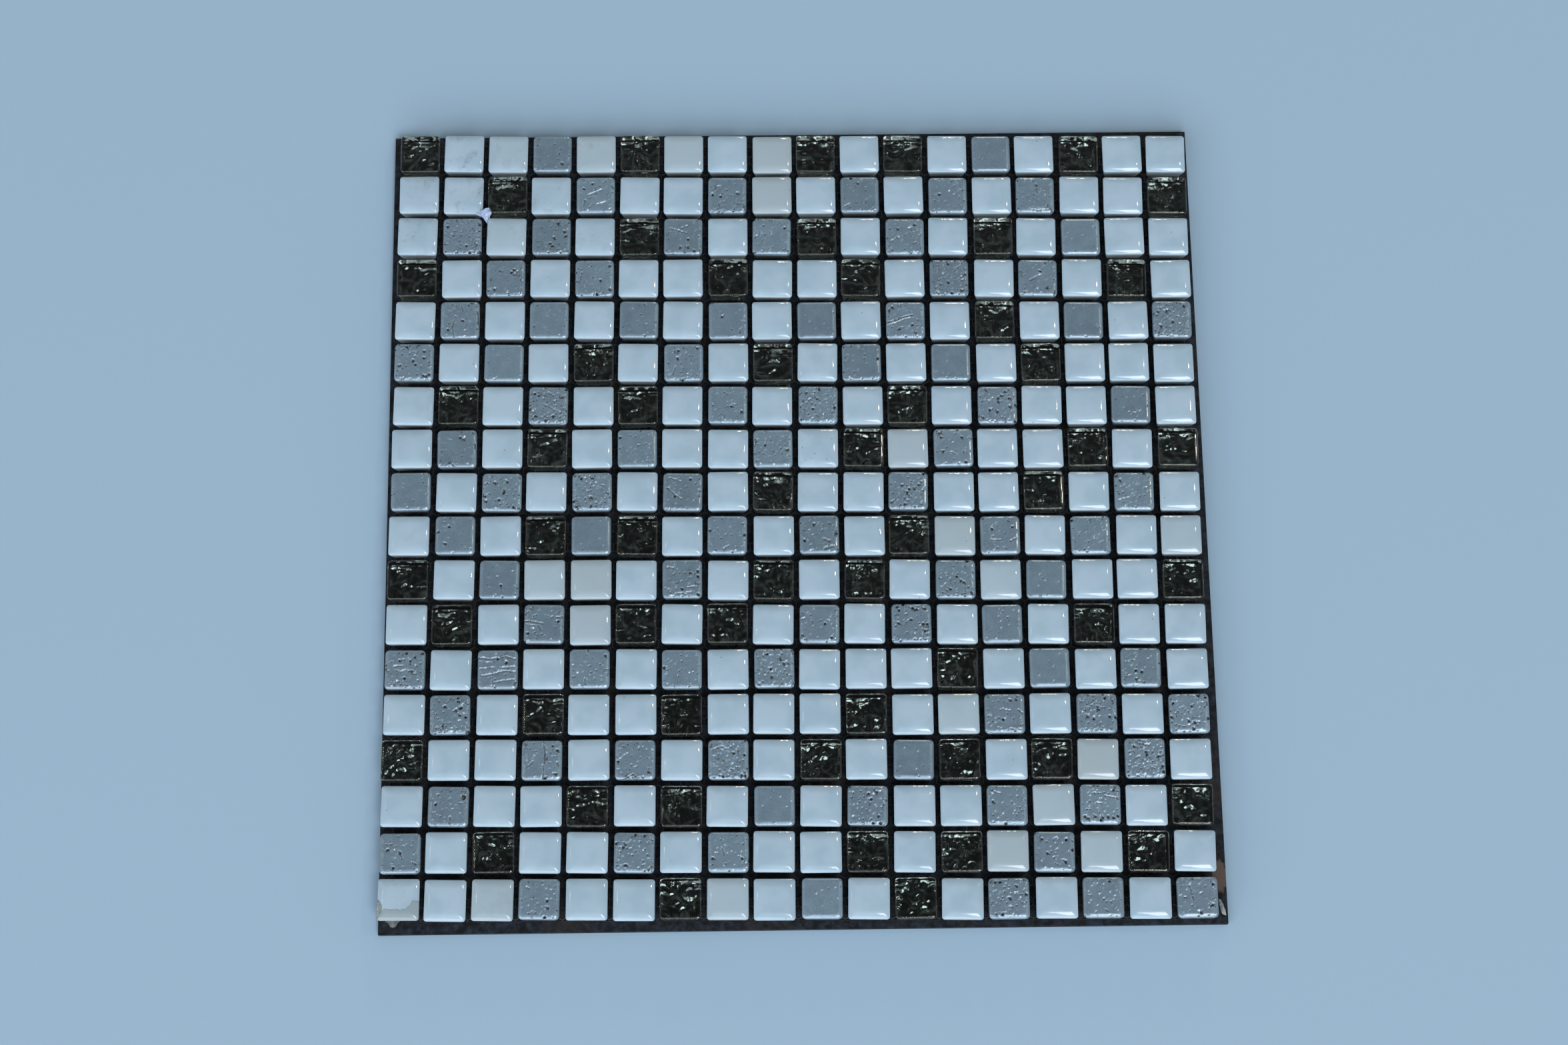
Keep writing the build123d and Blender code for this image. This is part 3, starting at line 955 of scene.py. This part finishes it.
knittedFibre = newMaterial("knittedFibre")
coords = addNode(knittedFibre, "TexCoord").outputs["Object"]
stitches = addNode(knittedFibre, "TexNoise", {
    "Vector": coords, "Scale": 1 / (knittedNet["stitch"] * mm), "Detail": 2.0})
fibreTone = addNode(knittedFibre, "ValToRGB", {"Fac": stitches},
                    stops=[(0.35, knittedNet["dark"]), (0.65, knittedNet["light"])])
stitchBump = addNode(knittedFibre, "Bump", {
    "Height": stitches, "Strength": 0.5, "Distance": knittedNet["stitchDepth"] * mm})
fibreShader = addNode(knittedFibre, "BsdfPrincipled", {
    "Base Color": fibreTone, "Roughness": 0.75, "Sheen Weight": 0.3, "Normal": stitchBump})
addNode(knittedFibre, "OutputMaterial", {"Surface": fibreShader})

netWidth = (columnCount * chipWidth + (columnCount - 1) * jointWidth - 2 * knittedNet["inset"]) * mm
netMiddle = (netLow + netHigh) / 2
cellWidth = knittedNet["cellWidth"] * mm
cellRadius = cellWidth / math.sqrt(3)
acrossCount = math.ceil(netWidth / cellWidth) + 2
downCount = math.ceil(netWidth / (3 * cellRadius)) + 2
bpy.ops.mesh.primitive_circle_add(vertices=6, radius=cellRadius, fill_type="NGON",
                                  location=(-acrossCount / 2 * cellWidth, -downCount * 1.5 * cellRadius, 0))
net = bpy.context.object
net.name = "knittedNet"
bpy.ops.object.transform_apply(location=True, rotation=True, scale=True)
startEditing(net)
bpy.ops.mesh.select_all(action="SELECT")
bpy.ops.mesh.duplicate_move(TRANSFORM_OT_translate={"value": (cellWidth / 2, 1.5 * cellRadius, 0)})
bpy.ops.mesh.select_all(action="SELECT")
bpy.ops.mesh.remove_doubles(threshold=0.01 * mm)
stopEditing()
for count, step in ((acrossCount, (cellWidth, 0, 0)), (downCount, (0, 3 * cellRadius, 0))):
    applyModifier(net, "ARRAY", count=count, use_relative_offset=False, use_constant_offset=True,
                  constant_offset_displace=step, use_merge_vertices=True, merge_threshold=0.01 * mm)
startEditing(net)
for along in ((1, 0, 0), (-1, 0, 0), (0, 1, 0), (0, -1, 0)):
    bpy.ops.mesh.select_all(action="SELECT")
    edgePlace = [netWidth / 2 * part for part in along]
    bpy.ops.mesh.bisect(plane_co=edgePlace, plane_no=along, clear_outer=True)
stopEditing()
applyModifier(net, "WIREFRAME", thickness=knittedNet["strand"] * mm, offset=0.0, use_even_offset=False)
flatten = knittedNet["thickness"] * mm / (2 * max(vertex.co.z for vertex in net.data.vertices))
netPlace = Matrix.Translation(netMiddle) @ Matrix.Rotation(math.radians(knittedNet["turn"]), 4, "Z")
net.data.transform(netPlace @ Matrix.Diagonal((1, 1, flatten, 1)))
net.data.materials.clear()
net.data.materials.append(knittedFibre)
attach(net, "root")
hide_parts("mesh_net")
print("net laid with", len(net.data.polygons), "faces")


# Scraps of dried adhesive left from the making: a folded wedge in a joint, a flake over the edge of
# the first chip of the last row, a scrap under its near wall and a curl on the board's right margin.
# Each outline is in mm from the middle of the board's underside.

driedScraps = {
    "lavenderWedge": {
        "crown": 0.3, "thickness": 0.3, "finish": "paleScrap",
        "outline": (
            (-119.7, 117.5, 11.2), (-118.0, 119.0, 11.3), (-116.2, 120.0, 11.3), (-114.8, 120.4, 11.0),
            (-114.0, 119.4, 11.0), (-113.9, 118.2, 10.6), (-114.6, 117.4, 9.8), (-114.6, 115.6, 8.8),
            (-115.4, 114.6, 8.4), (-116.3, 115.6, 9.4), (-117.2, 116.7, 10.6))},
    "cornerFlake": {
        "crown": 0.05, "thickness": 0.1, "finish": "beigeScrap",
        "outline": (
            (-151.0, -140.4, 10.5), (-150.4, -141.4, 11.0), (-149.7, -142.6, 11.25), (-149.4, -143.8, 11.3),
            (-149.8, -145.2, 11.2), (-150.5, -146.6, 10.95), (-151.2, -147.8, 10.2), (-151.45, -147.0, 9.8),
            (-151.4, -144.0, 9.9), (-151.3, -141.8, 10.1))},
    "nearScrap": {
        "crown": 0.3, "thickness": 0.15, "finish": "dullScrap",
        "outline": (
            (-149.5, -146.4, 5.6), (-148.7, -147.6, 4.6), (-147.7, -148.3, 3.9), (-147.2, -149.4, 3.4),
            (-146.2, -149.6, 3.4), (-145.3, -149.4, 3.4), (-144.7, -148.3, 3.9), (-143.7, -147.5, 4.8),
            (-143.2, -146.6, 5.8), (-146.0, -146.2, 6.2))},
    "marginCurl": {
        "crown": 0.3, "thickness": 0.2, "finish": "beigeScrap",
        "outline": (
            (148.4, -143.2, 3.5), (149.2, -143.6, 4.0), (149.9, -145.4, 4.3), (150.6, -147.6, 4.0),
            (150.9, -149.2, 3.4), (149.6, -148.6, 3.3), (149.0, -146.6, 3.3))},
}
# Dried adhesive: a thin skin with a dull shine, creased and uneven in tone
scrapTones = {
    "paleScrap": ("#A4B6DA", "#7F96BC"),
    "beigeScrap": ("#919C9C", "#6C7474"),
    "dullScrap": ("#585E5F", "#3E4344"),
}
creaseWidth, creaseDepth = 0.9, 0.2  # mm
scrapFinishes = {}
for finishName, (pale, deep) in scrapTones.items():
    driedAdhesive = newMaterial("driedAdhesive_" + finishName)
    coords = addNode(driedAdhesive, "TexCoord").outputs["Object"]
    creases = addNode(driedAdhesive, "TexNoise", {
        "Vector": coords, "Scale": 1 / (creaseWidth * mm), "Detail": 3.0})
    scrapTone = addNode(driedAdhesive, "ValToRGB", {"Fac": creases}, stops=[(0.35, deep), (0.6, pale)])
    creaseBump = addNode(driedAdhesive, "Bump", {
        "Height": creases, "Strength": 0.5, "Distance": creaseDepth * mm})
    scrapShader = addNode(driedAdhesive, "BsdfPrincipled", {
        "Base Color": scrapTone, "Roughness": 0.3, "Normal": creaseBump})
    addNode(driedAdhesive, "OutputMaterial", {"Surface": scrapShader})
    scrapFinishes[finishName] = driedAdhesive

for scrapName, shape in driedScraps.items():
    bpy.ops.mesh.primitive_circle_add(vertices=len(shape["outline"]), radius=1 * mm, fill_type="TRIFAN")
    scrap = bpy.context.object
    scrap.name = scrapName
    outline = [Vector(point) * mm for point in shape["outline"]]
    around = sorted((vertex for vertex in scrap.data.vertices if vertex.co.length > 0.5 * mm),
                    key=lambda vertex: -math.atan2(vertex.co.y, vertex.co.x))
    for vertex in scrap.data.vertices:
        vertex.co = sum(outline, Vector()) / len(outline) + Vector((0, 0, shape["crown"] * mm))
    for vertex, point in zip(around, outline):
        vertex.co = point
    startEditing(scrap)
    bpy.ops.mesh.select_all(action="SELECT")
    bpy.ops.mesh.subdivide(number_cuts=3, smoothness=0.6, fractal=0.25, seed=5)
    turnFacesOut()
    stopEditing()
    applyModifier(scrap, "SOLIDIFY", thickness=shape["thickness"] * mm, offset=0.0)
    for vertex in scrap.data.vertices:
        vertex.co.z = min(vertex.co.z, chipTop - 0.02 * mm)
    startEditing(scrap)
    turnFacesOut()
    stopEditing()
    smoothPiece(scrap, 60)
    scrap.data.materials.append(scrapFinishes[shape["finish"]])
    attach(scrap, "root")
print("scraps laid")
